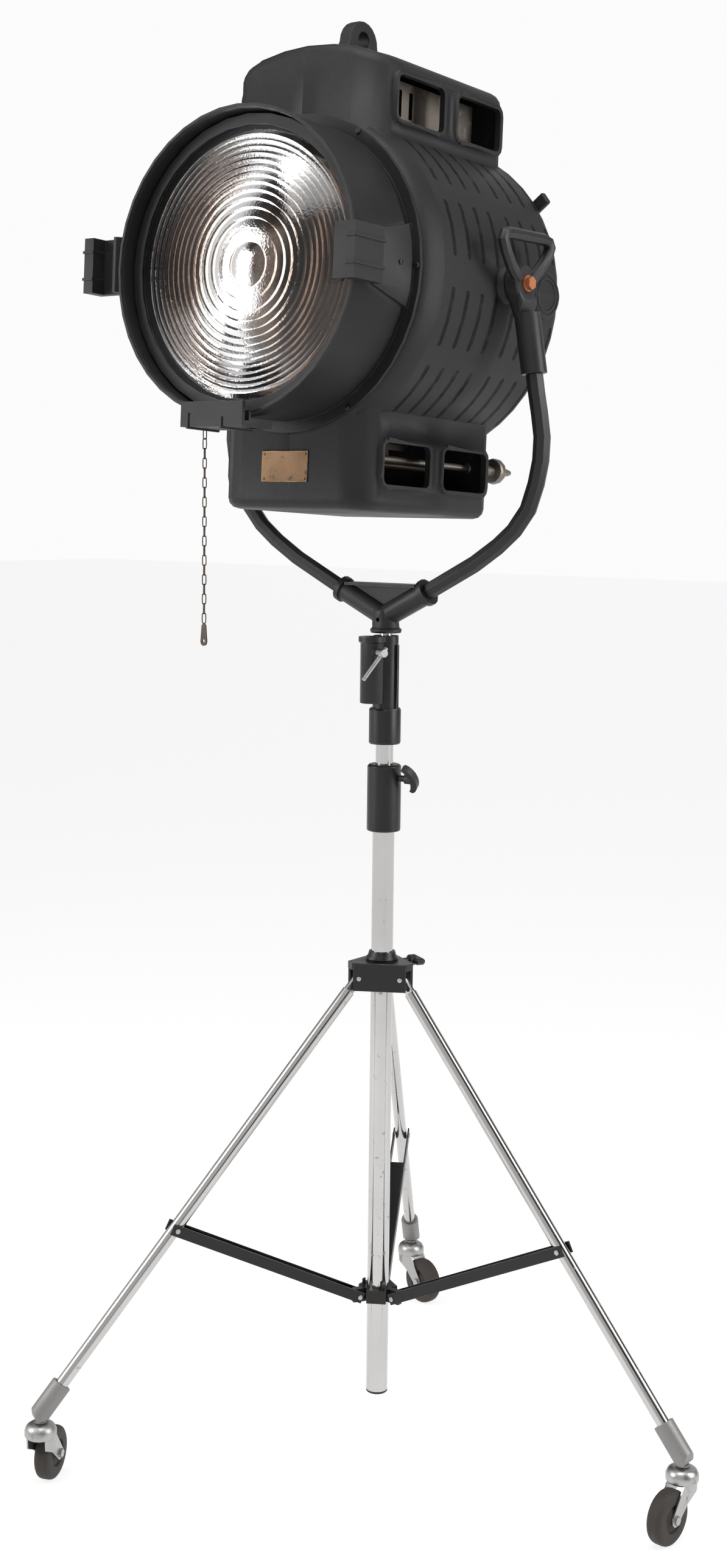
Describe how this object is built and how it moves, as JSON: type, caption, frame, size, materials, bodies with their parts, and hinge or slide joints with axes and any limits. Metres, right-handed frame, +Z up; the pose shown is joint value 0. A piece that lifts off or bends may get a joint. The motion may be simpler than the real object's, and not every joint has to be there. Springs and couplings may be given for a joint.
{
  "type": "fresnel spotlight on stand",
  "caption": "Large fresnel spotlight with stepped lens and slotted cast housing, in a yoke on a rolling folding stand.",
  "frame": {"origin": "on the floor, under the middle of the whole object's box", "axes": "+Z up; the lamp head looks along -Y; +X to its left-hand side as seen from behind the lens looking out"},
  "size_m": [1.1354, 1.2813, 2.8078],
  "materials": {
    "head_paint": "black sand-textured satin paint over an aluminium casting",
    "yoke_paint": "black satin paint over cast iron and steel tube",
    "powder_coat": "black textured powder coat",
    "knob_plastic": "moulded black plastic",
    "chrome": "chrome plate, worn and a little rusty low down",
    "cast_alloy": "as-cast matt alloy",
    "zinc": "zinc plate with rust in the corners",
    "rubber": "dusty black-brown rubber",
    "lens_glass": "clear pressed glass",
    "bronze": "aged bronze with a dark blank field",
    "copper_steel": "copper-coloured rusty steel",
    "dull_steel": "dull oxidised steel",
    "mirror_metal": "polished reflector"
  },
  "bodies": {
    "post": {"base_post": "chrome", "post_plug": "rubber", "riser_collar": "powder_coat"},
    "collar_knob": {"collar_knob": "knob_plastic"},
    "riser": {"riser_tube": "chrome", "receiver": "powder_coat"},
    "receiver_handle": {"receiver_handle": "zinc"},
    "yoke": {"spigot": "chrome", "yoke_hub": "yoke_paint", "yoke_arm_left": "yoke_paint", "yoke_arm_right": "yoke_paint", "tilt_fitting_left": "yoke_paint", "tilt_fitting_right": "yoke_paint"},
    "head": {"housing_left": "head_paint", "housing_right": "head_paint", "lens_barrel": "head_paint", "fresnel_lens": "lens_glass", "lens_ring": "head_paint", "bracket_left": "head_paint", "bracket_right": "head_paint", "bracket_bottom": "head_paint", "lifting_eye": "head_paint", "name_plate": "bronze", "medallion": "head_paint", "guide_rail_left": "dull_steel", "guide_rail_right": "dull_steel", "vent_baffle": "dull_steel", "cable_gland": "rubber", "tilt_bolt_left": "copper_steel", "tilt_bolt_right": "copper_steel"},
    "carriage": {"lamp_carriage": "dull_steel", "lamp_globe": "lens_glass", "reflector": "mirror_metal"},
    "focus_screw": {"focus_screw": "dull_steel"},
    "door": {"rear_door": "head_paint"},
    "door_latch": {"door_latch": "head_paint"},
    "chain": {"safety_chain": "dull_steel"},
    "hook": {"snap_hook": "dull_steel"},
    "crown": {"leg_crown": "powder_coat"},
    "crown_knob": {"crown_knob": "knob_plastic"},
    "spreader": {"spreader_collar": "powder_coat"},
    "leg_right": {"leg_tube_right": "chrome", "leg_socket_right": "cast_alloy"},
    "caster_right": {"caster_fork_right": "zinc"},
    "wheel_right": {"wheel_right": "rubber"},
    "brace_right": {"brace_right": "powder_coat"},
    "leg_rear": {"leg_tube_rear": "chrome", "leg_socket_rear": "cast_alloy"},
    "caster_rear": {"caster_fork_rear": "zinc"},
    "wheel_rear": {"wheel_rear": "rubber"},
    "brace_rear": {"brace_rear": "powder_coat"},
    "leg_left": {"leg_tube_left": "chrome", "leg_socket_left": "cast_alloy"},
    "caster_left": {"caster_fork_left": "zinc"},
    "wheel_left": {"wheel_left": "rubber"},
    "brace_left": {"brace_left": "powder_coat"}
  },
  "joints": [
    {"name": "riser_slide", "type": "slide", "parent": "post", "child": "riser", "axis": [0, 0, 1], "range_m": [-0.04, 0.85]},
    {"name": "collar_knob_turn", "type": "hinge", "parent": "post", "child": "collar_knob", "pos_m": [-0.166, 0, 1.351], "axis": [0.9903, 0.1392, 0], "range_deg": [-90, 270]},
    {"name": "receiver_handle_turn", "type": "hinge", "parent": "riser", "child": "receiver_handle", "pos_m": [-0.166, -0.045, 1.606], "axis": [0.8829, -0.4695, 0], "range_deg": [-90, 180]},
    {"name": "pan", "type": "hinge", "parent": "riser", "child": "yoke", "pos_m": [-0.166, 0, 1.641], "axis": [0, 0, 1], "continuous": true},
    {"name": "tilt", "type": "hinge", "parent": "yoke", "child": "head", "pos_m": [-0.166, -0.05, 2.305], "axis": [1, 0, 0], "range_deg": [-45, 35]},
    {"name": "focus_travel", "type": "slide", "parent": "head", "child": "carriage", "axis": [0, 0.9989, -0.0471], "range_m": [-0.12, 0.025]},
    {"name": "focus_screw_turn", "type": "hinge", "parent": "head", "child": "focus_screw", "pos_m": [-0.036, -0.06555, 1.97537], "axis": [0, 0.9989, -0.0471], "range_deg": [-1730, 362]},
    {"name": "door_swing", "type": "hinge", "parent": "head", "child": "door", "pos_m": [-0.487, 0.14628, 2.29574], "axis": [0, 0.0471, 0.9989], "range_deg": [0, 115]},
    {"name": "door_latch_turn", "type": "hinge", "parent": "door", "child": "door_latch", "pos_m": [0.05149, 0.16128, 2.46515], "axis": [0, 0.9989, -0.0471], "range_deg": [0, 90]},
    {"name": "chain_swing", "type": "hinge", "parent": "head", "child": "chain", "pos_m": [-0.238, -0.46428, 2.01169], "axis": [1, 0, 0], "range_deg": [-60, 60]},
    {"name": "hook_swing", "type": "hinge", "parent": "chain", "child": "hook", "pos_m": [-0.238, -0.46428, 1.67089], "axis": [0, 1, 0], "range_deg": [-60, 60]},
    {"name": "crown_slide", "type": "slide", "parent": "post", "child": "crown", "axis": [0, 0, 1], "range_m": [0, 0.235]},
    {"name": "crown_knob_turn", "type": "hinge", "parent": "crown", "child": "crown_knob", "pos_m": [-0.166, 0, 0.973], "axis": [0.5, 0.866, 0], "range_deg": [-90, 180]},
    {"name": "spreader_slide", "type": "slide", "parent": "post", "child": "spreader", "axis": [0, 0, 1], "range_m": [-0.112, 0]},
    {"name": "leg_fold_right", "type": "hinge", "parent": "crown", "child": "leg_right", "pos_m": [-0.116, 0, 0.948], "axis": [0, 1, 0], "range_deg": [0, 27.2]},
    {"name": "swivel_right", "type": "hinge", "parent": "leg_right", "child": "caster_right", "pos_m": [0.538, 0, 0.13], "axis": [0, 0, 1], "continuous": true},
    {"name": "wheel_spin_right", "type": "hinge", "parent": "caster_right", "child": "wheel_right", "pos_m": [0.5339, -0.04682, 0.0508], "axis": [0.9962, -0.0872, 0], "continuous": true},
    {"name": "brace_fold_right", "type": "hinge", "parent": "spreader", "child": "brace_right", "pos_m": [-0.119, 0, 0.288], "axis": [0, 1, 0], "range_deg": [-46.5, 0]},
    {"name": "leg_fold_rear", "type": "hinge", "parent": "crown", "child": "leg_rear", "pos_m": [-0.191, 0.0433, 0.948], "axis": [-0.866, -0.5, 0], "range_deg": [0, 27.2]},
    {"name": "swivel_rear", "type": "hinge", "parent": "leg_rear", "child": "caster_rear", "pos_m": [-0.518, 0.60968, 0.13], "axis": [0, 0, 1], "continuous": true},
    {"name": "wheel_spin_rear", "type": "hinge", "parent": "caster_rear", "child": "wheel_rear", "pos_m": [-0.4726, 0.59752, 0.0508], "axis": [0.2588, 0.9659, 0], "continuous": true},
    {"name": "brace_fold_rear", "type": "hinge", "parent": "spreader", "child": "brace_rear", "pos_m": [-0.1895, 0.0407, 0.288], "axis": [-0.866, -0.5, 0], "range_deg": [-46.5, 0]},
    {"name": "leg_fold_left", "type": "hinge", "parent": "crown", "child": "leg_left", "pos_m": [-0.191, -0.0433, 0.948], "axis": [0.866, -0.5, 0], "range_deg": [0, 27.2]},
    {"name": "swivel_left", "type": "hinge", "parent": "leg_left", "child": "caster_left", "pos_m": [-0.518, -0.60968, 0.13], "axis": [0, 0, 1], "continuous": true},
    {"name": "wheel_spin_left", "type": "hinge", "parent": "caster_left", "child": "wheel_left", "pos_m": [-0.53561, -0.5661, 0.0508], "axis": [-0.9272, -0.3746, 0], "continuous": true},
    {"name": "brace_fold_left", "type": "hinge", "parent": "spreader", "child": "brace_left", "pos_m": [-0.1895, -0.0407, 0.288], "axis": [0.866, -0.5, 0], "range_deg": [-46.5, 0]}
  ],
  "couplings": [
    {"joint": "focus_screw_turn", "follows": "focus_travel", "rad_per_m": 251.33},
    {"joint": "chain_swing", "follows": "tilt", "ratio": -1},
    {"joint": "spreader_slide", "follows": "crown_slide", "ratio": -0.46652},
    {"joint": "leg_fold_right", "follows": "crown_slide", "rad_per_m": 2.0053},
    {"joint": "brace_fold_right", "follows": "crown_slide", "rad_per_m": -3.4169},
    {"joint": "leg_fold_rear", "follows": "crown_slide", "rad_per_m": 2.0053},
    {"joint": "brace_fold_rear", "follows": "crown_slide", "rad_per_m": -3.4169},
    {"joint": "leg_fold_left", "follows": "crown_slide", "rad_per_m": 2.0053},
    {"joint": "brace_fold_left", "follows": "crown_slide", "rad_per_m": -3.4169}
  ]
}
